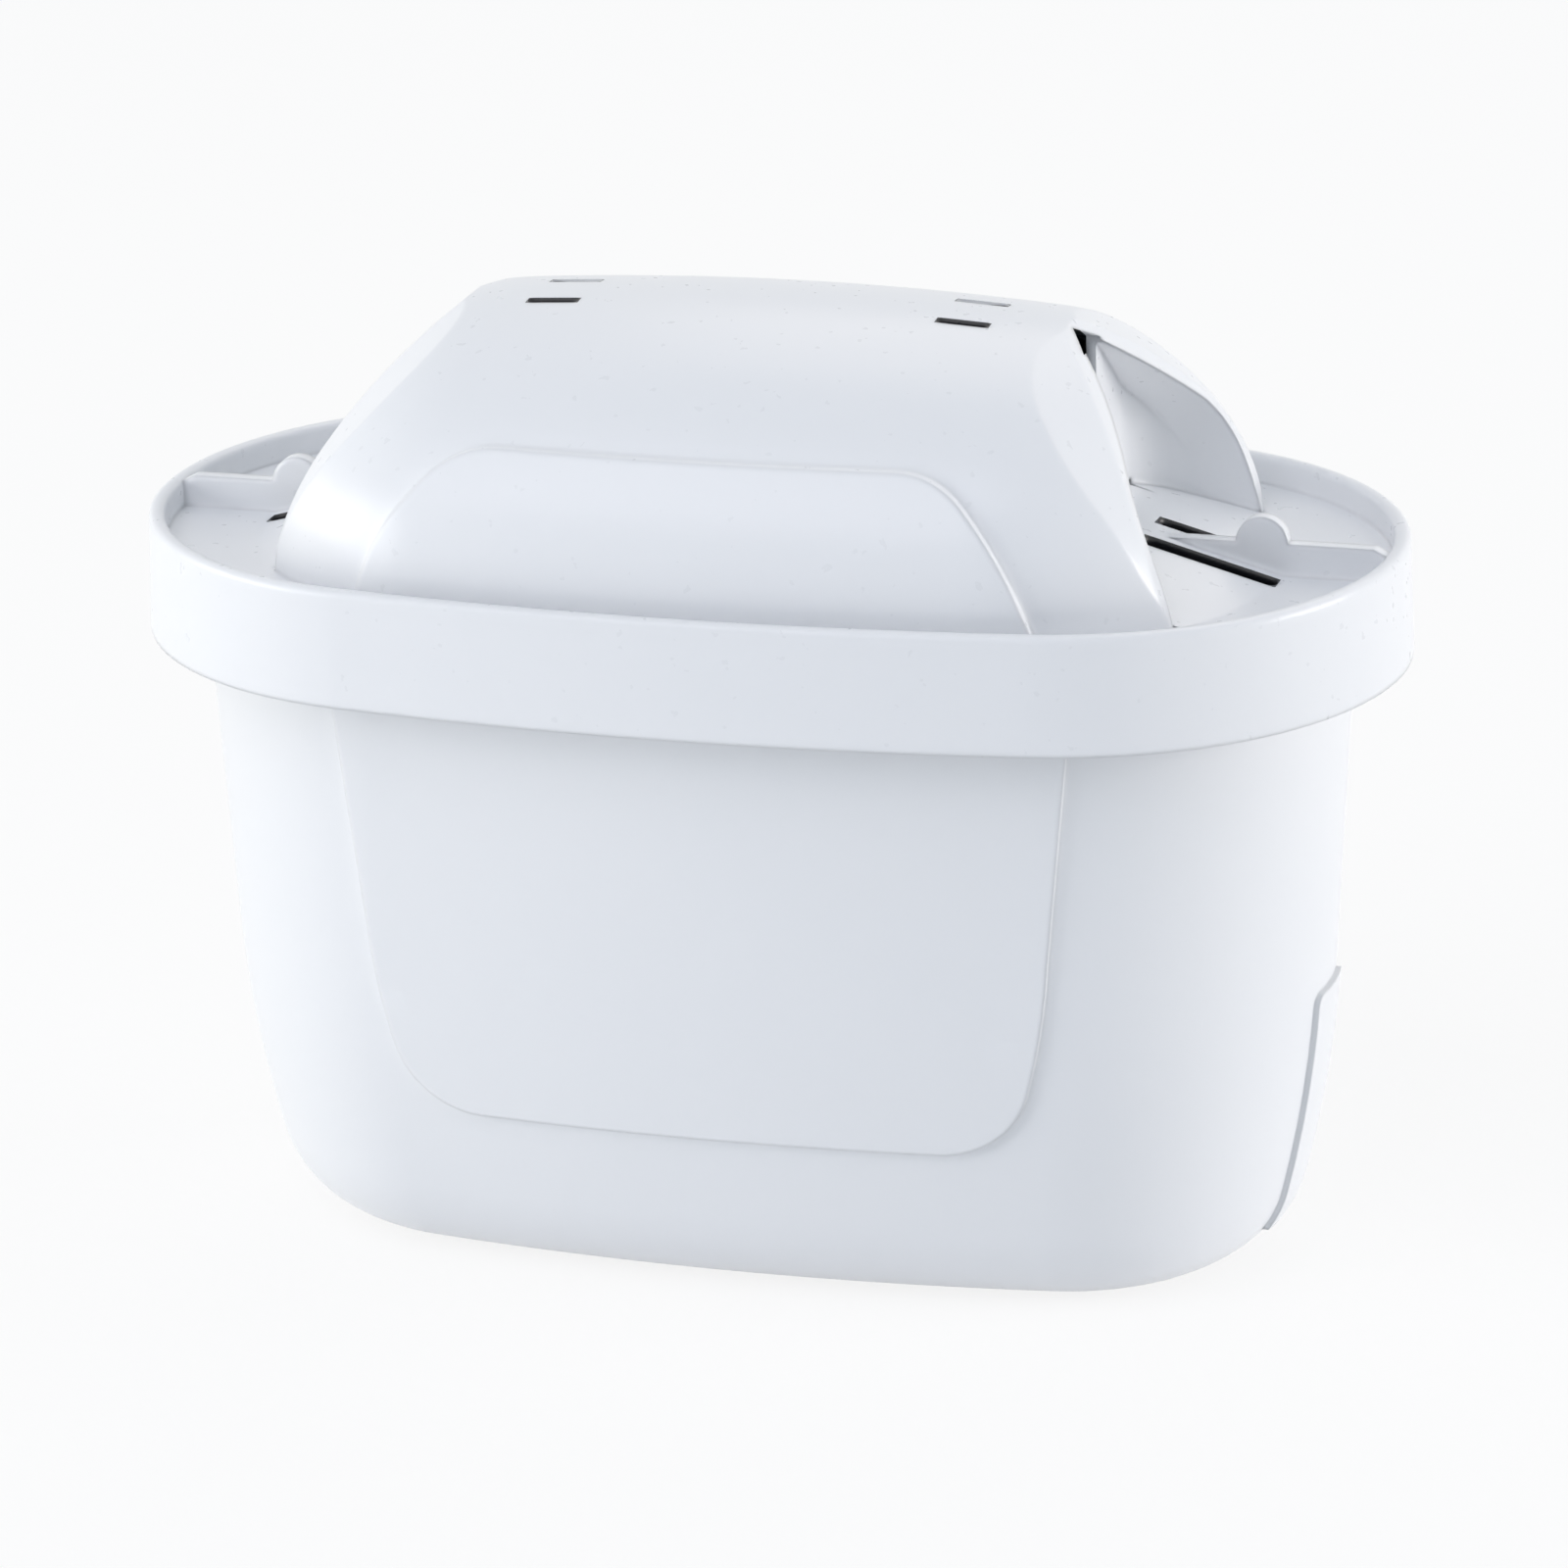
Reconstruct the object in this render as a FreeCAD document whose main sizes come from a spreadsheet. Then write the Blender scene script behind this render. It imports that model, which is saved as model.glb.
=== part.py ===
import FreeCAD, Part
import math
import os
import Sketcher
from FreeCAD import Vector

# Oval jug filter cartridge, standing on its flat bottom with its length along X.
# The origin is the middle of the bottom. Sizes are in millimetres, angles in degrees.

SIZES = {
    # The rim's outline is an oval of four arcs: two ends and two flatter sides.
    "rim_half_length": 54.0,
    "rim_half_width": 30.55,
    "rim_end_radius": 28.74,
    "rim_height": 10.0,
    "rim_flare": 1.7,
    "rim_wall": 1.4,
    "rim_edge_round": 0.5,
    "deck_depth": 2.4,
    "cap_wall": 1.5,
    # The hood is a barrel lying along X, flattened in height.
    "hood_half_length": 45.2,
    "hood_half_width": 26.0,
    "hood_end_radius": 25.0,
    "hood_height": 19.1,
    # Four facets slope down to the ends, each on a profile of two tangent arcs.
    "facet_turn": 23.5,
    "facet_bend_reach": 37.46,
    "facet_bend_height": 8.02,
    "facet_bend_tilt": 42.3,
    "facet_foot_radius": 18.3,
    "facet_crown_radius": 44.9,
    # Each end stops at a mouth, on a profile that one arc makes from the deck to the crown.
    "mouth_foot": 38.4,
    "mouth_crown": 25.3,
    "mouth_crown_height": 18.3,
    "mouth_radius": 35.0,
    # The finger recess behind the mouth, under an arched roof.
    "recess_half_width": 16.0,
    "recess_end": 27.4,
    "recess_corner": 5.0,
    "recess_spring": 2.2,
    "recess_shoulder": 8.0,
    "recess_roof": 17.3,
    "recess_peak_radius": 2.0,
    "recess_wall": 0.9,
    "window_half_width": 2.8,
    "window_foot": 2.2,
    "window_side": 16.2,
    # The sloped floor of each recess is part of a cone.
    "floor_axis": 16.0,
    "floor_foot_radius": 28.1,
    "floor_slope": 15.6,
    # Slots that let water in and air out.
    "inlet_slot_offset": 2.7,
    "inlet_slot_start": 32.6,
    "inlet_slot_length": 11.4,
    "inlet_slot_width": 2.0,
    "vent_slot_reach": 17.7,
    "vent_slot_offset": 3.17,
    "vent_slot_length": 4.5,
    "vent_slot_width": 1.1,
    "drain_slot_offset": 12.7,
    "drain_slot_width": 1.0,
    "drain_slot_length": 2.8,
    "drain_slot_tip": 11.4,
    "drain_slot_top": 1.0,
    # The rib from each floor to the rim, with its half-round tab.
    "rib_thickness": 1.4,
    "rib_rise": 0.35,
    "rib_start": 33.5,
    "rib_run_out": 1.0,
    "tab_reach": 42.2,
    "tab_radius": 2.2,
    # Raised panel on the hood's front and back.
    "hood_panel_rise": 0.8,
    "hood_panel_top": 10.9,
    "hood_panel_top_half": 16.8,
    "hood_panel_corner": 8.5,
    "hood_panel_turn": 44.0,
    "hood_panel_side_radius": 22.5,
    # The cup below the rim.
    "cup_drop": 53.2,
    "cup_step": 4.6,
    "cup_draft": 3.18,
    "cup_belly_height": 26.75,
    "cup_belly_radius": 105.0,
    "cup_bottom_round": 10.0,
    "cup_wall": 1.5,
    "cup_panel_rise": 0.6,
    "cup_panel_top_half": 31.5,
    "cup_panel_bend_half": 29.4,
    "cup_panel_bend": 33.2,
    "cup_panel_side_radius": 60.0,
    "cup_panel_corner": 8.0,
    "cup_panel_corner_run": 7.6,
    "cup_panel_corner_rise": 6.4,
    "cup_panel_low_half": 20.0,
    "cup_panel_bottom": 15.9,
    "end_panel_rise": 0.45,
    "end_panel_half_width": 4.2,
    "end_panel_corner": 1.0,
    "end_panel_top": 25.4,
    "end_panel_bottom": 4.0,
    # A cutting tool reaches this much past the face it opens.
    "overlap": 0.01,
    # What the cup holds.
    "screen_drop": 8.0,
    "screen_thickness": 1.2,
    "screen_gap": 0.25,
    "ledge_width": 1.6,
    "ledge_height": 1.2,
    "bed_gap": 0.3,
    "pad_thickness": 2.0,
    "pad_inset": 1.0,
    "screen_slot_length": 8.0,
    "screen_slot_width": 0.8,
    "screen_slot_step": 10.0,
    "screen_row_step": 2.6,
    "screen_columns": 7,
    "screen_rows": 13,
    "outlet_slot_length": 9.0,
    "outlet_slot_width": 1.0,
    "outlet_slot_step": 11.0,
    "outlet_row_step": 3.0,
    "outlet_columns": 3,
    "outlet_rows": 5,
}

doc = FreeCAD.newDocument("cartridge")
sheet = doc.addObject("Spreadsheet::Sheet", "sizes")
for row, (name, value) in enumerate(SIZES.items(), start=1):
    sheet.set(f"A{row}", name)
    sheet.set(f"B{row}", str(value))
    sheet.setAlias(f"B{row}", name)
doc.recompute()

# Heights that several pieces share, as expressions on the sheet.
RIM_TOP = "(sizes.cup_drop + sizes.rim_height)"
DECK_TOP = f"({RIM_TOP} - sizes.deck_depth)"
DECK_UNDER = f"({DECK_TOP} - sizes.cap_wall)"


def measure(expression):
    """Value of an expression on the sheet, as a plain number."""
    value = sheet.evalExpression(expression.replace("sizes.", ""))
    return float(getattr(value, "Value", value))


def start_sketch(body, name, role, height=None):
    """Sketch on one of the body's origin planes, raised by an expression if given."""
    sketch = body.newObject("Sketcher::SketchObject", name)
    plane = next(o for o in body.Origin.OriginFeatures if o.Role == role)
    sketch.AttachmentSupport = [(plane, "")]
    sketch.MapMode = "FlatFace"
    if height:
        sketch.setExpression("AttachmentOffset.Base.z", height)
    return sketch


def draw(sketch, corners):
    """Closed outline: each corner is x, y and how its edge leaves it.

    An edge is None for a line, or a radius and 1 for an arc that turns left, -1 for right.
    """
    points = [Vector(measure(x), measure(y), 0) for x, y, _ in corners]
    ends = []
    for i, (_, _, arc) in enumerate(corners):
        start = points[i]
        stop = points[(i + 1) % len(points)]
        if arc is None:
            edge = sketch.addGeometry(Part.LineSegment(start, stop), False)
            ends.append((edge, 1, 2))
            continue
        radius = measure(arc[0])
        chord = stop - start
        left = Vector(-chord.y, chord.x, 0).normalize()
        reach = math.sqrt(max(radius ** 2 - (chord.Length / 2) ** 2, 0))
        centre = (start + stop) * 0.5 + left * (arc[1] * reach)
        first, last = (start, stop) if arc[1] > 0 else (stop, start)
        a0 = math.atan2(first.y - centre.y, first.x - centre.x)
        a1 = math.atan2(last.y - centre.y, last.x - centre.x)
        if a1 < a0:
            a1 += 2 * math.pi
        circle = Part.Circle(centre, Vector(0, 0, 1), radius)
        edge = sketch.addGeometry(Part.ArcOfCircle(circle, a0, a1), False)
        ends.append((edge, 1, 2) if arc[1] > 0 else (edge, 2, 1))
    for i, (x, y, arc) in enumerate(corners):
        before = ends[i - 1]
        edge, start, _ = ends[i]
        sketch.addConstraint(Sketcher.Constraint("Coincident", before[0], before[2], edge, start))
        bind(sketch, "DistanceX", (-1, 1, edge, start), x)
        bind(sketch, "DistanceY", (-1, 1, edge, start), y)
        if arc:
            bind(sketch, "Radius", (edge,), arc[0])


def bind(sketch, kind, where, expression):
    """Constraint whose value follows an expression on the sheet."""
    index = sketch.addConstraint(Sketcher.Constraint(kind, *where, measure(expression)))
    sketch.setExpression(f"Constraints[{index}]", expression)


def oval(sketch, inset):
    """The rim's outline moved inwards: every arc keeps its centre."""
    a = f"(sizes.rim_half_length - ({inset}))"
    b = f"(sizes.rim_half_width - ({inset}))"
    r = f"(sizes.rim_end_radius - ({inset}))"
    oval_of(sketch, a, b, r)


def oval_joint(a, b, r):
    """Side radius, and the point where the side arc meets the end arc."""
    side = f"((({a} - {r})^2 + {b}^2 - {r}^2) / (2 * ({b} - {r})))"
    return side, f"(({a} - {r}) * {side} / ({side} - {r}))", f"({r} * ({side} - {b}) / ({side} - {r}))"


def oval_of(sketch, a, b, r):
    side, x, y = oval_joint(a, b, r)
    draw(sketch, [
        (a, "0", (r, 1)),
        (x, y, (side, 1)),
        (f"-{x}", y, (r, 1)),
        (f"-{x}", f"-{y}", (side, 1)),
        (x, f"-{y}", (r, 1)),
    ])


def pad(body, name, sketch, length, reverse=False, middle=False):
    feature = body.newObject("PartDesign::Pad", name)
    feature.Profile = sketch
    feature.setExpression("Length", length)
    feature.Reversed = reverse
    feature.Midplane = middle
    return feature


def combine(kind, name, shapes):
    """Multi-part fuse or common."""
    result = doc.addObject(kind, name)
    result.Shapes = shapes
    return result


def cut(name, base, tool):
    result = doc.addObject("Part::Cut", name)
    result.Base = base
    result.Tool = tool
    return result


def mirror(name, source, normal):
    result = doc.addObject("Part::Mirroring", name)
    result.Source = source
    result.Normal = normal
    return result


# Cup: its section is swept round the oval, so every height is the same oval moved inwards.
CUP_TOP_X = "(sizes.rim_half_length - sizes.cup_step)"
BELLY_X = f"({CUP_TOP_X} - (sizes.cup_drop - sizes.cup_belly_height) * tan(sizes.cup_draft))"
BELLY_CENTRE_X = f"({BELLY_X} - sizes.cup_belly_radius * cos(sizes.cup_draft))"
BELLY_CENTRE_Z = "(sizes.cup_belly_height + sizes.cup_belly_radius * sin(sizes.cup_draft))"
ARC_GAP = "(sizes.cup_belly_radius - sizes.cup_bottom_round)"
ROUND_DROP = f"({BELLY_CENTRE_Z} - sizes.cup_bottom_round)"
ROUND_RUN = f"sqrt({ARC_GAP}^2 - {ROUND_DROP}^2)"
ROUND_X = f"({BELLY_CENTRE_X} + {ROUND_RUN})"


def vessel(name, inset, top):
    """Solid with the cup's outer form moved inwards, from its bottom up to a height."""
    body = doc.addObject("PartDesign::Body", name)
    belly = f"(sizes.cup_belly_radius - ({inset}))"
    lift = f"({top} - sizes.cup_drop) * tan(sizes.cup_draft)"
    path = start_sketch(body, f"{name}_path", "XY_Plane")
    oval(path, "sizes.cup_step")
    section = start_sketch(body, f"{name}_section", "XZ_Plane")
    core = f"({ROUND_X} - 1)"
    draw(section, [
        (core, f"({inset})", None),
        (ROUND_X, f"({inset})", (f"(sizes.cup_bottom_round - ({inset}))", 1)),
        (f"({BELLY_CENTRE_X} + {belly} * {ROUND_RUN} / {ARC_GAP})",
         f"({BELLY_CENTRE_Z} - {belly} * {ROUND_DROP} / {ARC_GAP})", (belly, 1)),
        (f"({BELLY_CENTRE_X} + {belly} * cos(sizes.cup_draft))",
         f"({BELLY_CENTRE_Z} - {belly} * sin(sizes.cup_draft))", None),
        (f"({CUP_TOP_X} + {lift} - ({inset}) / cos(sizes.cup_draft))", top, None),
        (core, top, None),
    ])
    sweep = body.newObject("PartDesign::AdditivePipe", f"{name}_sweep")
    sweep.Profile = section
    sweep.Spine = (path, [f"Edge{i}" for i in range(1, 6)])
    middle = start_sketch(body, f"{name}_middle", "XY_Plane", f"({inset})")
    oval(middle, f"sizes.rim_half_length - {core}")
    pad(body, f"{name}_core", middle, f"{top} - ({inset})")
    return body


cup_form = vessel("cup_form", "0", DECK_UNDER)
cup_cavity = vessel("cup_cavity", "sizes.cup_wall", f"({DECK_UNDER} + 1)")
panel_skin = vessel("panel_skin", "-sizes.cup_panel_rise", "(sizes.cup_drop + 1)")
end_skin = vessel("end_skin", "-sizes.end_panel_rise", "(sizes.cup_drop + 1)")

# The raised panel's outline, seen from the front: open at the top, narrower and round below.
panel = doc.addObject("PartDesign::Body", "cup_panel_outline")
panel_sketch = start_sketch(panel, "cup_panel_sketch", "XZ_Plane")
CORNER_X = "(sizes.cup_panel_low_half + sizes.cup_panel_corner_run)"
CORNER_Z = "(sizes.cup_panel_bottom + sizes.cup_panel_corner_rise)"
draw(panel_sketch, [
    ("-sizes.cup_panel_low_half", "sizes.cup_panel_bottom", None),
    ("sizes.cup_panel_low_half", "sizes.cup_panel_bottom", ("sizes.cup_panel_corner", 1)),
    (CORNER_X, CORNER_Z, ("sizes.cup_panel_side_radius", 1)),
    ("sizes.cup_panel_bend_half", "sizes.cup_panel_bend", None),
    ("sizes.cup_panel_top_half", "sizes.cup_drop", None),
    ("-sizes.cup_panel_top_half", "sizes.cup_drop", None),
    ("-sizes.cup_panel_bend_half", "sizes.cup_panel_bend", ("sizes.cup_panel_side_radius", 1)),
    (f"-{CORNER_X}", CORNER_Z, ("sizes.cup_panel_corner", 1)),
])
pad(panel, "cup_panel_pad", panel_sketch, "4 * sizes.rim_half_width", middle=True)
panels = combine("Part::MultiCommon", "cup_panels", [panel_skin, panel])

# The narrow raised panel on the right end only, which tells the ends apart.
slab = doc.addObject("PartDesign::Body", "end_panel_outline")
slab_sketch = start_sketch(slab, "end_panel_sketch", "YZ_Plane")
END_HALF = "sizes.end_panel_half_width"
END_CORNER = "sizes.end_panel_corner"
draw(slab_sketch, [
    (f"-{END_HALF}", "sizes.end_panel_bottom", None),
    (END_HALF, "sizes.end_panel_bottom", None),
    (END_HALF, f"(sizes.end_panel_top - {END_CORNER})", (END_CORNER, 1)),
    (f"({END_HALF} - {END_CORNER})", "sizes.end_panel_top", None),
    (f"-({END_HALF} - {END_CORNER})", "sizes.end_panel_top", (END_CORNER, 1)),
    (f"-{END_HALF}", f"(sizes.end_panel_top - {END_CORNER})", None),
])
pad(slab, "end_panel_pad", slab_sketch, "2 * sizes.rim_half_length")
end_panel = combine("Part::MultiCommon", "end_panel", [end_skin, slab])

# Ledge inside the cup that carries the screen.
SCREEN_UNDER = f"({RIM_TOP} - sizes.screen_drop)"
ledge = doc.addObject("PartDesign::Body", "ledge")
ring = start_sketch(ledge, "ledge_outside", "XY_Plane", SCREEN_UNDER)
oval(ring, "sizes.cup_step + sizes.cup_wall / 2")
pad(ledge, "ledge_ring", ring, "sizes.ledge_height", reverse=True)
hole = start_sketch(ledge, "ledge_inside", "XY_Plane", SCREEN_UNDER)
oval(hole, "sizes.cup_step + sizes.cup_wall + sizes.ledge_width")
opening = ledge.newObject("PartDesign::Pocket", "ledge_opening")
opening.Profile = hole
opening.Type = 1

cup_outside = combine("Part::MultiFuse", "cup_outside", [cup_form, panels, end_panel])
cup_shell = cut("cup_shell", cup_outside, cup_cavity)
cup_ledged = combine("Part::MultiFuse", "cup_ledged", [cup_shell, ledge])


def slot_outline(sketch, x, y, length, width):
    """Slot along X with round ends, placed by its middle."""
    half = f"(({length} - {width}) / 2)"
    side = f"({width} / 2)"
    draw(sketch, [
        (f"({x} - {half})", f"({y} - {side})", None),
        (f"({x} + {half})", f"({y} - {side})", (side, 1)),
        (f"({x} + {half} + {side})", y, (side, 1)),
        (f"({x} + {half})", f"({y} + {side})", None),
        (f"({x} - {half})", f"({y} + {side})", (side, 1)),
        (f"({x} - {half} - {side})", y, (side, 1)),
    ])


# The rim, its skirt and the deck.
rim = doc.addObject("PartDesign::Body", "rim")
rim_outline = start_sketch(rim, "rim_outline", "XY_Plane", RIM_TOP)
oval(rim_outline, "0")
rim_block = pad(rim, "rim_block", rim_outline, "sizes.rim_height", reverse=True)
rim_block.setExpression("TaperAngle", "sizes.rim_flare")
deck_outline = start_sketch(rim, "deck_outline", "XY_Plane", RIM_TOP)
oval(deck_outline, "sizes.rim_wall")
deck_recess = rim.newObject("PartDesign::Pocket", "deck_recess")
deck_recess.Profile = deck_outline
deck_recess.setExpression("Length", "sizes.deck_depth")
skirt_outline = start_sketch(rim, "skirt_inside", "XY_Plane", DECK_UNDER)
oval(skirt_outline, "sizes.rim_wall")
skirt_hollow = rim.newObject("PartDesign::Pocket", "skirt_hollow")
skirt_hollow.Profile = skirt_outline
skirt_hollow.Type = 1
doc.recompute()
top_edges = [
    f"Edge{i}" for i, edge in enumerate(skirt_hollow.Shape.Edges, start=1)
    if edge.BoundBox.ZMin > measure(RIM_TOP) - 0.01
]
rim_edge = rim.newObject("PartDesign::Fillet", "rim_edge")
rim_edge.Base = (skirt_hollow, top_edges)
rim_edge.setExpression("Radius", "sizes.rim_edge_round")


HOOD_FOOT = "-(sizes.deck_depth + 2 * sizes.cap_wall)"


def hood_form(name, inset):
    """The barrel inside its four end facets, moved inwards."""
    body = doc.addObject("PartDesign::Body", f"{name}_barrel")
    outline = start_sketch(body, f"{name}_barrel_outline", "XY_Plane")
    a = f"(sizes.hood_half_length - ({inset}))"
    b = f"(sizes.hood_half_width - ({inset}))"
    r = f"(sizes.hood_end_radius - ({inset}))"
    side, x, y = oval_joint(a, b, r)
    draw(outline, [
        (f"-{a}", "0", None),
        (a, "0", (r, 1)),
        (x, y, (side, 1)),
        (f"-{x}", y, (r, 1)),
    ])
    turn = body.newObject("PartDesign::Revolution", f"{name}_turned")
    turn.Profile = outline
    turn.ReferenceAxis = (outline, ["H_Axis"])
    turn.Angle = 360
    barrel = doc.addObject("Part::Scale", f"{name}_flattened")
    barrel.Base = body
    barrel.Uniform = False
    barrel.setExpression("ZScale", f"(sizes.hood_height - ({inset})) / {b}")
    barrel.setExpression("Placement.Base.z", RIM_TOP)
    facets = [facet_block(f"{name}_facet_{i}", inset, i) for i in range(4)]
    return combine("Part::MultiCommon", name, [barrel] + facets)


def facet_block(name, inset, corner):
    """All that lies inboard of one end facet, turned to one of the four corners."""
    body = doc.addObject("PartDesign::Body", name)
    outline = start_sketch(body, f"{name}_profile", "XZ_Plane")
    tilt = "sizes.facet_bend_tilt"
    bend_x = f"(sizes.facet_bend_reach - ({inset}) * cos({tilt}))"
    bend_z = f"(sizes.facet_bend_height - ({inset}) * sin({tilt}))"
    foot = f"(sizes.facet_foot_radius - ({inset}))"
    crown = f"(sizes.facet_crown_radius - ({inset}))"
    foot_x = f"({bend_x} - {foot} * cos({tilt}))"
    foot_z = f"({bend_z} - {foot} * sin({tilt}))"
    crown_x = f"({bend_x} - {crown} * cos({tilt}))"
    crown_z = f"({bend_z} - {crown} * sin({tilt}))"
    low = HOOD_FOOT
    far = "-2 * sizes.rim_half_length"
    draw(outline, [
        (far, low, None),
        (f"({foot_x} + sqrt({foot}^2 - ({low} - {foot_z})^2))", low, (foot, 1)),
        (bend_x, bend_z, (crown, 1)),
        (crown_x, f"({crown_z} + {crown})", None),
        (far, f"({crown_z} + {crown})", None),
    ])
    pad(body, f"{name}_pad", outline, "6 * sizes.rim_half_width", middle=True)
    turn = "sizes.facet_turn" if corner % 2 == 0 else "-sizes.facet_turn"
    body.setExpression("Placement.Base.z", RIM_TOP)
    body.setExpression("Placement.Rotation.Angle", turn if corner < 2 else f"(180 + {turn})")
    return body


def recess_form(name, inset, low, start_inset):
    """Finger recess moved inwards: an arch along X inside a plan with rounded corners."""
    arch = doc.addObject("PartDesign::Body", f"{name}_arch")
    outline = start_sketch(arch, f"{name}_arch_outline", "YZ_Plane")
    half = f"(sizes.recess_half_width - ({inset}))"
    shoulder = f"(sizes.recess_shoulder - ({inset}))"
    peak = f"(sizes.recess_peak_radius - ({inset}))"
    spring = f"({RIM_TOP} + sizes.recess_spring)"
    centre_y = f"({half} - {shoulder})"
    peak_z = f"({RIM_TOP} + sizes.recess_roof - sizes.recess_peak_radius)"
    rise = f"({peak_z} - {spring})"
    span = f"sqrt({centre_y}^2 + {rise}^2)"
    lean = f"(atan({centre_y} / {rise}) + asin(({shoulder} - {peak}) / {span}))"
    draw(outline, [
        (f"-{half}", low, None),
        (half, low, None),
        (half, spring, (shoulder, 1)),
        (f"({centre_y} + {shoulder} * cos({lean}))", f"({spring} + {shoulder} * sin({lean}))", None),
        (f"({peak} * cos({lean}))", f"({peak_z} + {peak} * sin({lean}))", (peak, 1)),
        (f"-({peak} * cos({lean}))", f"({peak_z} + {peak} * sin({lean}))", None),
        (f"-({centre_y} + {shoulder} * cos({lean}))", f"({spring} + {shoulder} * sin({lean}))",
         (shoulder, 1)),
        (f"-{half}", spring, None),
    ])
    pad(arch, f"{name}_arch_pad", outline, "2 * sizes.rim_half_length")
    plan = doc.addObject("PartDesign::Body", f"{name}_plan")
    outline = start_sketch(plan, f"{name}_plan_outline", "XY_Plane", low)
    corner = f"(sizes.recess_corner - ({inset}))"
    start = f"(sizes.recess_end + ({start_inset}))"
    mouth = "(sizes.hood_half_length + sizes.rim_wall)"
    draw(outline, [
        (f"({start} + {corner})", f"-{half}", None),
        (f"({mouth})", f"-{half}", None),
        (f"({mouth})", half, None),
        (f"({start} + {corner})", half, (corner, 1)),
        (start, f"({half} - {corner})", None),
        (start, f"-({half} - {corner})", (corner, 1)),
    ])
    pad(plan, f"{name}_plan_pad", outline, "2 * sizes.hood_height")
    return combine("Part::MultiCommon", name, [arch, plan])


def floor_form(name, base, trim):
    """Cone of a recess floor, standing on a height."""
    cone = doc.addObject("Part::Cone", name)
    radius = f"(sizes.floor_foot_radius - {trim})"
    top = "(sizes.recess_end - sizes.floor_axis - 2 * sizes.recess_wall)"
    cone.setExpression("Radius1", radius)
    cone.setExpression("Radius2", top)
    cone.setExpression("Height", f"({radius} - {top}) * tan(sizes.floor_slope)")
    cone.setExpression("Placement.Base.x", "sizes.floor_axis")
    cone.setExpression("Placement.Base.z", base)
    return cone


def both_ends(name, source):
    return combine("Part::MultiFuse", name, [source, mirror(f"{name}_mirrored", source, (1, 0, 0))])


SLOT_FOOT = f"({DECK_UNDER} - 1)"

hood_whole = hood_form("hood_whole", "0")
hood_inside = hood_form("hood_inside", "sizes.cap_wall")
mouth = doc.addObject("PartDesign::Body", "mouth")
mouth.setExpression("Placement.Base.z", RIM_TOP)
mouth_profile = start_sketch(mouth, "mouth_profile", "XZ_Plane")
draw(mouth_profile, [
    ("-sizes.mouth_foot", HOOD_FOOT, None),
    ("sizes.mouth_foot", HOOD_FOOT, None),
    ("sizes.mouth_foot", "-sizes.deck_depth", ("sizes.mouth_radius", 1)),
    ("sizes.mouth_crown", "sizes.mouth_crown_height", None),
    ("sizes.mouth_crown", "2 * sizes.hood_height", None),
    ("-sizes.mouth_crown", "2 * sizes.hood_height", None),
    ("-sizes.mouth_crown", "sizes.mouth_crown_height", ("sizes.mouth_radius", 1)),
    ("-sizes.mouth_foot", "-sizes.deck_depth", None),
])
pad(mouth, "mouth_pad", mouth_profile, "4 * sizes.rim_half_width", middle=True)
hood = combine("Part::MultiCommon", "hood", [hood_whole, mouth])
recess = recess_form("recess", "0", DECK_TOP, "0")
recess_below = recess_form("recess_below", "0", f"({DECK_UNDER} - 1)", "0")
recess_block = recess_form("recess_block", "-sizes.recess_wall", f"({DECK_UNDER} - 1)",
                           "-sizes.recess_wall")
floor_cone = floor_form("floor_cone", DECK_TOP, "0")
floor_top = combine("Part::MultiCommon", "floor_top", [floor_cone, recess_below])
cone_trim = ("(sizes.recess_wall / cos(sizes.floor_slope) - sizes.cap_wall)"
             " / tan(sizes.floor_slope)")
under_cone = floor_form("under_cone", f"({DECK_UNDER} - sizes.overlap)", cone_trim)
floor_under = combine("Part::MultiCommon", "floor_under", [under_cone, recess_below])

# Slots of the floor and the ridge, for the right end.
right_slots = []
for slot, x, y, length, width in (
    ("inlet", "(sizes.inlet_slot_start + sizes.inlet_slot_length / 2)", "sizes.inlet_slot_offset",
     "sizes.inlet_slot_length", "sizes.inlet_slot_width"),
    ("vent", "sizes.vent_slot_reach", "sizes.vent_slot_offset",
     "sizes.vent_slot_length", "sizes.vent_slot_width"),
):
    for side, sign in (("front", "-"), ("back", "")):
        body = doc.addObject("PartDesign::Body", f"{slot}_{side}")
        outline = start_sketch(body, f"{slot}_{side}_outline", "XY_Plane", SLOT_FOOT)
        slot_outline(outline, x, f"{sign}{y}", length, width)
        pad(body, f"{slot}_{side}_slot", outline, "2 * sizes.hood_height")
        right_slots.append(body)

# A small tapering drain in each inner corner of the recess floor.
for side, sign in (("front", "-"), ("back", "")):
    body = doc.addObject("PartDesign::Body", f"drain_{side}")
    outline = start_sketch(body, f"drain_{side}_outline", "XY_Plane", SLOT_FOOT)
    draw(outline, [
        ("sizes.recess_end", f"{sign}(sizes.drain_slot_offset - sizes.drain_slot_width / 2)", None),
        ("sizes.recess_end", f"{sign}(sizes.drain_slot_offset + sizes.drain_slot_width / 2)", None),
        ("(sizes.recess_end + sizes.drain_slot_length)", f"{sign}sizes.drain_slot_tip", None),
    ])
    pad(body, f"drain_{side}_slot", outline, f"({RIM_TOP} + sizes.drain_slot_top - {SLOT_FOOT})")
    right_slots.append(body)

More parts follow.
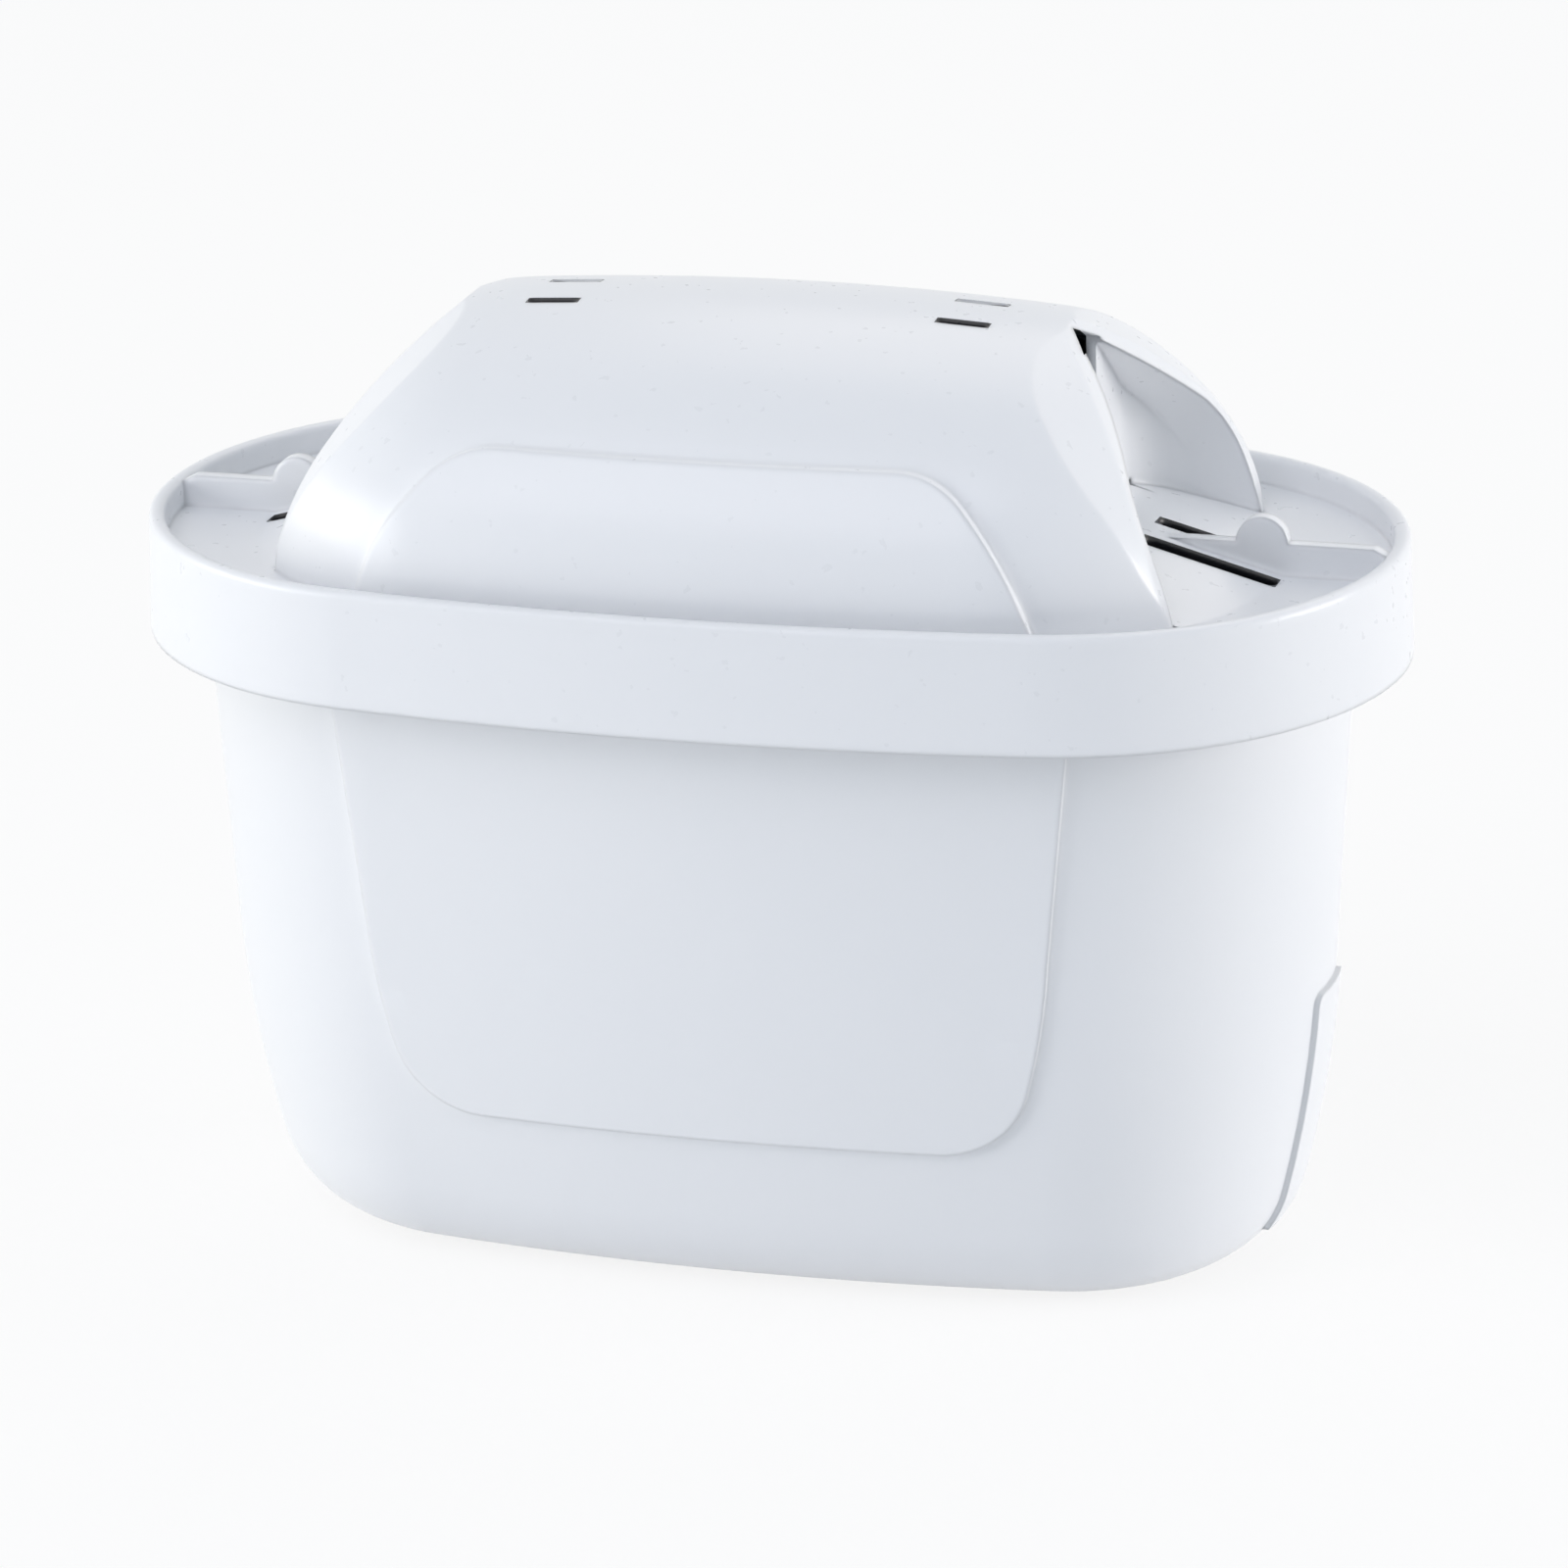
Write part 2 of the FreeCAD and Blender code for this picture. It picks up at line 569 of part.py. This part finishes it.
# The window in the recess's end wall, with a low gable over it.
window = doc.addObject("PartDesign::Body", "window")
window_outline = start_sketch(window, "window_outline", "YZ_Plane")
draw(window_outline, [
    ("-sizes.window_half_width", f"({RIM_TOP} + sizes.window_foot)", None),
    ("sizes.window_half_width", f"({RIM_TOP} + sizes.window_foot)", None),
    ("sizes.window_half_width", f"({RIM_TOP} + sizes.window_side)", None),
    ("0", f"({RIM_TOP} + sizes.hood_height - sizes.cap_wall)", None),
    ("-sizes.window_half_width", f"({RIM_TOP} + sizes.window_side)", None),
])
pad(window, "window_slot", window_outline, "sizes.recess_end + sizes.recess_wall / 2")

# The rib from the floor to the rim, with a half-round tab on top.
rib = doc.addObject("PartDesign::Body", "rib")
rib_outline = start_sketch(rib, "rib_outline", "XZ_Plane")
rib_low = f"({DECK_UNDER} + sizes.cap_wall / 2)"
rib_top = f"({RIM_TOP} + sizes.rib_rise)"
rib_end = "(sizes.rim_half_length - sizes.rim_wall / 2)"
draw(rib_outline, [
    ("sizes.rib_start", rib_low, None),
    (rib_end, rib_low, None),
    (rib_end, f"({RIM_TOP} - sizes.rim_edge_round)", None),
    ("(sizes.rim_half_length - sizes.rim_wall - sizes.rib_run_out)", rib_top, None),
    ("(sizes.tab_reach + sizes.tab_radius)", rib_top, ("sizes.tab_radius", 1)),
    ("sizes.tab_reach", f"({rib_top} + sizes.tab_radius)", ("sizes.tab_radius", 1)),
    ("(sizes.tab_reach - sizes.tab_radius)", rib_top, None),
    ("sizes.rib_start", rib_top, None),
])
pad(rib, "rib_pad", rib_outline, "sizes.rib_thickness", middle=True)

# The hood's raised panel: the barrel grown a little, inside an outline seen from the front.
proud = doc.addObject("Part::Scale", "panel_barrel")
proud.Base = doc.getObject("hood_whole_barrel")
proud.Uniform = False
proud.setExpression("XScale", "1 + sizes.hood_panel_rise / sizes.hood_half_length")
proud.setExpression("YScale", "1 + sizes.hood_panel_rise / sizes.hood_half_width")
proud.setExpression("ZScale", "(sizes.hood_height + sizes.hood_panel_rise) / sizes.hood_half_width")
proud.setExpression("Placement.Base.z", RIM_TOP)
panel_block = doc.addObject("PartDesign::Body", "hood_panel_outline")
block_sketch = start_sketch(panel_block, "hood_panel_sketch", "XZ_Plane")
TURN = "sizes.hood_panel_turn"
bend_x = f"(sizes.hood_panel_top_half + sizes.hood_panel_corner * sin({TURN}))"
bend_z = f"({RIM_TOP} + sizes.hood_panel_top - sizes.hood_panel_corner * (1 - cos({TURN})))"
side_x = f"({bend_x} - sizes.hood_panel_side_radius * sin({TURN}))"
side_z = f"({bend_z} - sizes.hood_panel_side_radius * cos({TURN}))"
foot_z = f"({DECK_UNDER} + sizes.cap_wall / 2)"
foot_x = f"({side_x} + sqrt(sizes.hood_panel_side_radius^2 - ({side_z} - {foot_z})^2))"
top_z = f"({RIM_TOP} + sizes.hood_panel_top)"
draw(block_sketch, [
    (f"-{foot_x}", foot_z, None),
    (foot_x, foot_z, ("sizes.hood_panel_side_radius", 1)),
    (bend_x, bend_z, ("sizes.hood_panel_corner", 1)),
    ("sizes.hood_panel_top_half", top_z, None),
    ("-sizes.hood_panel_top_half", top_z, ("sizes.hood_panel_corner", 1)),
    (f"-{bend_x}", bend_z, ("sizes.hood_panel_side_radius", 1)),
])
pad(panel_block, "hood_panel_pad", block_sketch, "4 * sizes.rim_half_width", middle=True)
hood_panel = combine("Part::MultiCommon", "hood_panel", [proud, panel_block])

cap_outside = combine("Part::MultiFuse", "cap_outside", [rim, hood, hood_panel])
cap_recessed = cut("cap_recessed", cap_outside, both_ends("recesses", recess))
cap_floored = combine("Part::MultiFuse", "cap_floored", [cap_recessed, both_ends("floors", floor_top)])
void = cut("hood_void", hood_inside, both_ends("recess_blocks", recess_block))
right_openings = combine("Part::MultiFuse", "right_openings", [floor_under] + right_slots)
voids = [void, both_ends("end_openings", right_openings), both_ends("windows", window)]
cap_voids = combine("Part::MultiFuse", "cap_voids", voids)
cap_hollow = cut("cap_hollow", cap_floored, cap_voids)
cap = combine("Part::MultiFuse", "cap_ribbed", [cap_hollow, both_ends("ribs", rib)])


def slot_grid(body, name, plane_height, step_x, step_y, columns, rows, length, width, depth):
    """Rows of round-ended slots cut down into a body, around its middle."""
    outline = start_sketch(body, f"{name}_outline", "XY_Plane", plane_height)
    slot_outline(outline, f"(-{step_x} * ({columns} - 1) / 2)", f"(-{step_y} * ({rows} - 1) / 2)",
                 length, width)
    first = body.newObject("PartDesign::Pocket", f"{name}_slot")
    first.Profile = outline
    first.setExpression("Length", depth)
    grid = body.newObject("PartDesign::LinearPattern", f"{name}_grid")
    grid.Originals = [first]
    grid.Direction = (outline, ["H_Axis"])
    grid.setExpression("Length", f"{step_x} * ({columns} - 1)")
    grid.setExpression("Occurrences", columns)
    grid.Direction2 = (outline, ["V_Axis"])
    grid.setExpression("Length2", f"{step_y} * ({rows} - 1)")
    grid.setExpression("Occurrences2", rows)
    body.Tip = grid


cup = doc.addObject("PartDesign::Body", "cup")
cup.BaseFeature = cup_ledged
slot_grid(cup, "outlet", "sizes.cup_wall", "sizes.outlet_slot_step", "sizes.outlet_row_step",
          "sizes.outlet_columns", "sizes.outlet_rows", "sizes.outlet_slot_length",
          "sizes.outlet_slot_width", "2 * sizes.cup_wall")

# The screen rests on the cup's ledge, under the hood.
screen = doc.addObject("PartDesign::Body", "inlet_screen")
screen_outline = start_sketch(screen, "screen_outline", "XY_Plane", SCREEN_UNDER)
oval(screen_outline, "sizes.cup_step + sizes.cup_wall + sizes.screen_gap")
pad(screen, "screen_plate", screen_outline, "sizes.screen_thickness")
slot_grid(screen, "screen", f"({SCREEN_UNDER} + sizes.screen_thickness)", "sizes.screen_slot_step",
          "sizes.screen_row_step", "sizes.screen_columns", "sizes.screen_rows",
          "sizes.screen_slot_length", "sizes.screen_slot_width", "2 * sizes.screen_thickness")

# The felt pad lies on the flat of the cup's floor, over the outlet slots.
felt = doc.addObject("PartDesign::Body", "outlet_pad")
felt_outline = start_sketch(felt, "outlet_pad_outline", "XY_Plane", "sizes.cup_wall")
oval(felt_outline, f"(sizes.rim_half_length - {ROUND_X} + sizes.pad_inset)")
pad(felt, "outlet_pad_block", felt_outline, "sizes.pad_thickness")

# The granules fill the cup between the pad and the ledge.
bed_form = vessel("bed_form", "(sizes.cup_wall + sizes.bed_gap)",
                  f"({SCREEN_UNDER} - sizes.ledge_height - sizes.bed_gap)")
bed_floor = doc.addObject("Part::Box", "bed_floor")
bed_floor.setExpression("Length", "2 * sizes.rim_half_length")
bed_floor.setExpression("Width", "2 * sizes.rim_half_width")
bed_floor.setExpression("Height", "sizes.cup_wall + sizes.pad_thickness")
bed_floor.setExpression("Placement.Base.x", "-sizes.rim_half_length")
bed_floor.setExpression("Placement.Base.y", "-sizes.rim_half_width")
bed = cut("filter_bed", bed_form, bed_floor)

# Each finished piece carries its own name, and all share the frame's origin.
pieces = {"cap": cap, "cup": cup, "inlet_screen": screen, "filter_bed": bed, "outlet_pad": felt}
doc.recompute()
for item in doc.Objects:
    if "Invalid" in item.State or "Error" in item.State:
        raise ValueError(f"{item.Name} is not computed: {item.State}")
os.makedirs("parts", exist_ok=True)
for label, piece in pieces.items():
    piece.Label = label
    piece.Placement = FreeCAD.Placement()
    if piece.Shape.isNull() or not piece.Shape.isValid():
        raise ValueError(f"{label} has no valid shape")
for label, piece in pieces.items():
    piece.Shape.exportStep(f"parts/{label}.step")
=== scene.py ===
import math

import bpy
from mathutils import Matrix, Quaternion, Vector

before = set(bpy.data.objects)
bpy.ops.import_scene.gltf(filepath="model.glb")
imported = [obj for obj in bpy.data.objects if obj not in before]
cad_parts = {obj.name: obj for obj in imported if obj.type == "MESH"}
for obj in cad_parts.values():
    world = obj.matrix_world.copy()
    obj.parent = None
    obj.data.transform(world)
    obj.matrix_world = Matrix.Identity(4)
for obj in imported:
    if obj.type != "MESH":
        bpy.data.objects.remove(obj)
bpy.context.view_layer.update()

# The cap: one white polypropylene moulding with the rim, the deck, the domed hood and its finger
# recesses. It leaves its mould with a soft gloss, a very fine orange peel and faint flow marks.


class Socket:
    """A shader value that can be used in Python expressions."""

    def __init__(self, tree, output):
        self.tree = tree
        self.output = output

    def node(self, kind, settings=None, inputs=None, out=0):
        """Any other node: its type, its settings, then the values or links of its sockets."""
        made = self.tree.nodes.new(kind)
        for name, value in (settings or {}).items():
            setattr(made, name, value)
        for name, value in (inputs or {}).items():
            if isinstance(value, Socket):
                self.tree.links.new(value.output, made.inputs[name])
            else:
                made.inputs[name].default_value = value
        return Socket(self.tree, made.outputs[out])

    def math(self, operation, first, second=0.0):
        return self.node("ShaderNodeMath", {"operation": operation}, {0: first, 1: second})

    def __add__(self, other):
        return self.math("ADD", self, other)

    def __sub__(self, other):
        return self.math("SUBTRACT", self, other)

    def __mul__(self, other):
        return self.math("MULTIPLY", self, other)

    def __lt__(self, other):
        return self.math("LESS_THAN", self, other)

    def __gt__(self, other):
        return self.math("GREATER_THAN", self, other)

    __radd__ = __add__
    __rmul__ = __mul__


def start_material(name):
    """A new material, its shader node and the object's own coordinates."""
    material = bpy.data.materials.new(name)
    material.use_nodes = True
    tree = material.node_tree
    shader = tree.nodes["Principled BSDF"]
    place = Socket(tree, tree.nodes.new("ShaderNodeTexCoord").outputs["Object"])
    return material, shader, place


def feed(value, shader, socket):
    """Links a value to a socket of a shader node."""
    value.tree.links.new(value.output, shader.inputs[socket])


def blend(factor, low, high):
    """Colour between two others; each is a socket or three numbers."""
    ends = {}
    for name, colour in (("A", low), ("B", high)):
        ends[name] = colour if isinstance(colour, Socket) else (*colour, 1.0)
    return factor.node("ShaderNodeMix", {"data_type": "RGBA"}, {"Factor": factor, **ends}, out=2)


def axes(place):
    """The three coordinates of a place, each from its own output."""
    parts = place.tree.nodes.new("ShaderNodeSeparateXYZ")
    place.tree.links.new(place.output, parts.inputs[0])
    return [Socket(place.tree, parts.outputs[i]) for i in range(3)]


FLOW_SCALE = 45.0
PEEL_SCALE = 900.0
PEEL_GLOSS_CHANGE = 0.03
PEEL_STRENGTH = 0.012
PEEL_HEIGHT = 0.0002
PLASTIC_IOR = 1.49


def moulded_plastic(name, light, shade, roughness, edge):
    """Moulded plastic: slow changes of shade, a fine orange peel and softened edges."""
    material, shader, place = start_material(name)
    marks = {"Vector": place, "Scale": FLOW_SCALE, "Detail": 3.0}
    flow = place.node("ShaderNodeTexNoise", None, marks)
    colour = blend(flow, shade, light)
    feed(colour, shader, "Base Color")
    pits = {"Vector": place, "Scale": PEEL_SCALE, "Detail": 2.0}
    peel = place.node("ShaderNodeTexNoise", None, pits)
    feed(roughness + PEEL_GLOSS_CHANGE * (peel - 0.5), shader, "Roughness")
    soft = place.node("ShaderNodeBevel", {"samples": 8}, {"Radius": edge})
    relief = {"Strength": PEEL_STRENGTH, "Distance": PEEL_HEIGHT, "Height": peel, "Normal": soft}
    feed(place.node("ShaderNodeBump", None, relief), shader, "Normal")
    shader.inputs["IOR"].default_value = PLASTIC_IOR
    return material, shader, place, colour


def dress(node, material):
    """Puts a material on a CAD node."""
    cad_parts[node].data.materials.clear()
    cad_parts[node].data.materials.append(material)


CAP_LIGHT = (0.865, 0.872, 0.888)
CAP_SHADE = (0.845, 0.855, 0.875)
CAP_ROUGHNESS = 0.28
CAP_EDGE = 0.0008
cap_white, shader, place, colour = moulded_plastic(
    "cap_white", CAP_LIGHT, CAP_SHADE, CAP_ROUGHNESS, CAP_EDGE
)

# The openings of the cap: every one reads near black in the photograph, where light alone would
# leave white plastic pale, so the inside of the hood and the cuts of the slots are painted dark.
# This near black is painted shade, not the plastic's own colour; of a vent's walls only the one
# that faces away from the ridge gets it, in front and behind alike.
OPENING_PAINTED_SHADE = (0.012, 0.013, 0.016)
RIM_TOP = 0.0632
HOOD_INSIDE_HALF = 0.0266
HOOD_SKIN = (0.02535, 0.01835)
DECK_MIDDLE = 0.06
INLET_MIDDLE = (0.0383, 0.0027)
INLET_HALF = (0.00575, 0.00103)
VENT_MIDDLE = (0.0177, 0.00317)
VENT_HALF = (0.0023, 0.00058)
facing = Socket(place.tree, place.tree.nodes.new("ShaderNodeNewGeometry").outputs["True Normal"])
x, y, z = axes(place)
normal = axes(facing)
reach = x.math("ABSOLUTE", x)
side = y.math("ABSOLUTE", y)
height = z - RIM_TOP
inward = y * normal[1] + height * normal[2] < 0.0
barrel = side * side * (1 / HOOD_SKIN[0] ** 2) + height * height * (1 / HOOD_SKIN[1] ** 2)
painted_shade = inward * (barrel < 1.0) * (reach < HOOD_INSIDE_HALF) * (z > DECK_MIDDLE)
outward = y * normal[1] > 0.0
for middle, half, walls in ((INLET_MIDDLE, INLET_HALF, 1.0), (VENT_MIDDLE, VENT_HALF, outward)):
    along = x.math("ABSOLUTE", reach - middle[0]) < half[0]
    beside = x.math("ABSOLUTE", side - middle[1]) < half[1]
    painted_shade = painted_shade.math("MAXIMUM", painted_shade, along * beside * walls)
# The painted shade of the openings goes into the cap's base colour here.
feed(blend(painted_shade, colour, OPENING_PAINTED_SHADE), shader, "Base Color")
dress("cap", cap_white)

# The cup: a second white moulding, welded under the cap's deck. Its walls are a little more matt,
# and the raised panels on its front, back and right end have softly rounded edges.
CUP_LIGHT = (0.86, 0.867, 0.883)
CUP_SHADE = (0.84, 0.85, 0.87)
CUP_ROUGHNESS = 0.33
CUP_EDGE = 0.0006
cup_white = moulded_plastic("cup_white", CUP_LIGHT, CUP_SHADE, CUP_ROUGHNESS, CUP_EDGE)[0]
dress("cup", cup_white)

# The inlet screen: a slotted plate of grey plastic that rests on the cup's ledge and keeps the
# granules in. The grey is a guess: the photograph shows only darkness there.
SCREEN_LIGHT = (0.1, 0.105, 0.11)
SCREEN_SHADE = (0.06, 0.063, 0.068)
SCREEN_ROUGHNESS = 0.5
SCREEN_EDGE = 0.0002
screen_grey = moulded_plastic(
    "screen_grey", SCREEN_LIGHT, SCREEN_SHADE, SCREEN_ROUGHNESS, SCREEN_EDGE
)[0]
dress("inlet_screen", screen_grey)

# The filter bed: granules of activated carbon and a few amber resin beads, poured loose between
# the screen and the felt.
CARBON = (0.02, 0.02, 0.022)
RESIN = (0.16, 0.08, 0.03)
RESIN_LIMIT = 0.55
GRAIN_SCALE = 1300.0
GRAIN_HEIGHT = 0.0004
GRAIN_ROUGHNESS = 0.6
bed, shader, place = start_material("bed_granules")
grains = {"Vector": place, "Scale": GRAIN_SCALE}
amber = place.node("ShaderNodeTexVoronoi", None, grains, out=1) > RESIN_LIMIT
feed(blend(amber, CARBON, RESIN), shader, "Base Color")
hollow = place.node("ShaderNodeTexVoronoi", None, grains)
relief = {"Strength": 0.8, "Distance": GRAIN_HEIGHT, "Height": hollow}
feed(place.node("ShaderNodeBump", {"invert": True}, relief), shader, "Normal")
shader.inputs["Roughness"].default_value = GRAIN_ROUGHNESS
dress("filter_bed", bed)

# The outlet pad: white needled felt, laid on the cup's floor over the outlet slots so that no
# granule gets out.
FELT_SHADE = (0.62, 0.62, 0.6)
FELT_LIGHT = (0.78, 0.78, 0.76)
FIBRE_SCALE = 1500.0
FIBRE_HEIGHT = 0.0003
FELT_ROUGHNESS = 0.95
felt, shader, place = start_material("outlet_felt")
threads = {"Vector": place, "Scale": FIBRE_SCALE, "Detail": 6.0}
fibre = place.node("ShaderNodeTexNoise", None, threads)
feed(blend(fibre, FELT_SHADE, FELT_LIGHT), shader, "Base Color")
relief = {"Strength": 0.6, "Distance": FIBRE_HEIGHT, "Height": fibre}
feed(place.node("ShaderNodeBump", None, relief), shader, "Normal")
shader.inputs["Roughness"].default_value = FELT_ROUGHNESS
dress("outlet_pad", felt)

# The floor: a pale matt table. Most of what the camera sees of it is plain white, so that it goes
# on into the background, and the rest is lit like the part and keeps its shadow.
FLOOR_HALF = 3.0
FLOOR_GLOW = 0.85
FLOOR_WHITE = (0.92, 0.92, 0.92, 1.0)
FLOOR_ROUGHNESS = 0.9


def background_rays(tree):
    """One for the rays that show the background, seen, mirrored or through something clear."""
    path = tree.nodes.new("ShaderNodeLightPath")
    seen = Socket(tree, path.outputs["Is Camera Ray"])
    seen = seen.math("MAXIMUM", seen, Socket(tree, path.outputs["Is Glossy Ray"]))
    return seen.math("MAXIMUM", seen, Socket(tree, path.outputs["Is Transmission Ray"]))


corners = [(-1, -1), (1, -1), (1, 1), (-1, 1)]
floor_mesh = bpy.data.meshes.new("floor")
floor_mesh.from_pydata([(FLOOR_HALF * i, FLOOR_HALF * j, 0) for i, j in corners], [], [range(4)])
floor = bpy.data.objects.new("floor", floor_mesh)
bpy.context.scene.collection.objects.link(floor)
floor_white, shader, place = start_material("floor_white")
tree = place.tree
shader.inputs["Base Color"].default_value = FLOOR_WHITE
shader.inputs["Roughness"].default_value = FLOOR_ROUGHNESS
shader.inputs["Specular IOR Level"].default_value = 0.0
glow = place.node("ShaderNodeEmission", None, {"Color": (1, 1, 1, 1), "Strength": 1.0})
faces = {0: background_rays(tree) * FLOOR_GLOW, 1: Socket(tree, shader.outputs[0]), 2: glow}
mixed = place.node("ShaderNodeMixShader", None, faces)
tree.links.new(mixed.output, tree.nodes["Material Output"].inputs["Surface"])
floor_mesh.materials.append(floor_white)

# The studio: a cool room that is darker near the floor, in front of a white background that the
# camera and the glossy plastic see. A colour renders about as it is written in this light.
SKY_LOW = (0.1, 0.15, 0.2)
SKY_HIGH = (0.45, 0.5, 0.55)
SKY_CLIMB = (0.1, 0.7)
BACKGROUND_WHITE = (1.0, 1.0, 1.0)
world = bpy.data.worlds.new("studio")
bpy.context.scene.world = world
world.use_nodes = True
tree = world.node_tree
direction = Socket(tree, tree.nodes.new("ShaderNodeTexCoord").outputs["Generated"])
limits = {"Value": axes(direction)[2], "From Min": SKY_CLIMB[0], "From Max": SKY_CLIMB[1]}
climb = direction.node("ShaderNodeMapRange", None, limits)
sky = blend(background_rays(tree), blend(climb, SKY_LOW, SKY_HIGH), BACKGROUND_WHITE)
feed(sky, tree.nodes["Background"], "Color")
tree.nodes["Background"].inputs["Strength"].default_value = 1.0


def from_angle(azimuth, elevation):
    """Direction towards a viewer; azimuth 0 is the front, and it grows to the right."""
    a = math.radians(azimuth)
    e = math.radians(elevation)
    return Vector((math.sin(a) * math.cos(e), -math.cos(a) * math.cos(e), math.sin(e)))


# The soft boxes: low ones on the left and right that leave the front a little darker, one high in
# front that puts a soft shadow under the rim, and a weak one behind for the top of the hood.
LAMP_AIM = Vector((0.0, 0.0, 0.0392))
LAMP_REACH = 1.2
for name, azimuth, elevation, size, power, tint in (
    ("left_box", -80, 6, 0.6, 3.6, (1.0, 0.92, 0.74)),
    ("left_front_box", -55, 10, 0.6, 4.9, (0.97, 0.98, 1.0)),
    ("right_box", 100, 6, 0.6, 10.3, (1.0, 0.96, 0.93)),
    ("high_front_box", -20, 50, 0.8, 3.4, (0.99, 0.95, 1.0)),
    ("high_back_box", 180, 50, 0.8, 2.1, (1.0, 0.9, 0.8)),
):
    away = from_angle(azimuth, elevation)
    data = bpy.data.lights.new(name, "AREA")
    data.size = size
    data.energy = power
    data.color = tint
    lamp = bpy.data.objects.new(name, data)
    lamp.location = LAMP_AIM + away * LAMP_REACH
    lamp.rotation_euler = away.to_track_quat("Z", "Y").to_euler()
    bpy.context.scene.collection.objects.link(lamp)

# The camera: where the photograph was taken from, as its outlines of the rim, the cup and the
# hood give it, with a long lens and a slight roll.
CAMERA_AZIMUTH = 16.906
CAMERA_ELEVATION = 18.972
CAMERA_ROLL = -1.433
CAMERA_REACH = 0.6255
CAMERA_AIM = Vector((0.00036, 0.00011, 0.03917))
LENS_LENGTH = 168.83
SENSOR_WIDTH = 36.0
lens = bpy.data.cameras.new("camera")
lens.lens = LENS_LENGTH
lens.sensor_width = SENSOR_WIDTH
lens.clip_start = 0.01
away = from_angle(CAMERA_AZIMUTH, CAMERA_ELEVATION)
roll = Quaternion((0, 0, 1), math.radians(CAMERA_ROLL))
camera = bpy.data.objects.new("camera", lens)
camera.location = CAMERA_AIM + away * CAMERA_REACH
camera.rotation_mode = "QUATERNION"
camera.rotation_quaternion = away.to_track_quat("Z", "Y") @ roll
bpy.context.scene.collection.objects.link(camera)
bpy.context.scene.camera = camera
bpy.context.scene.view_settings.view_transform = "Standard"
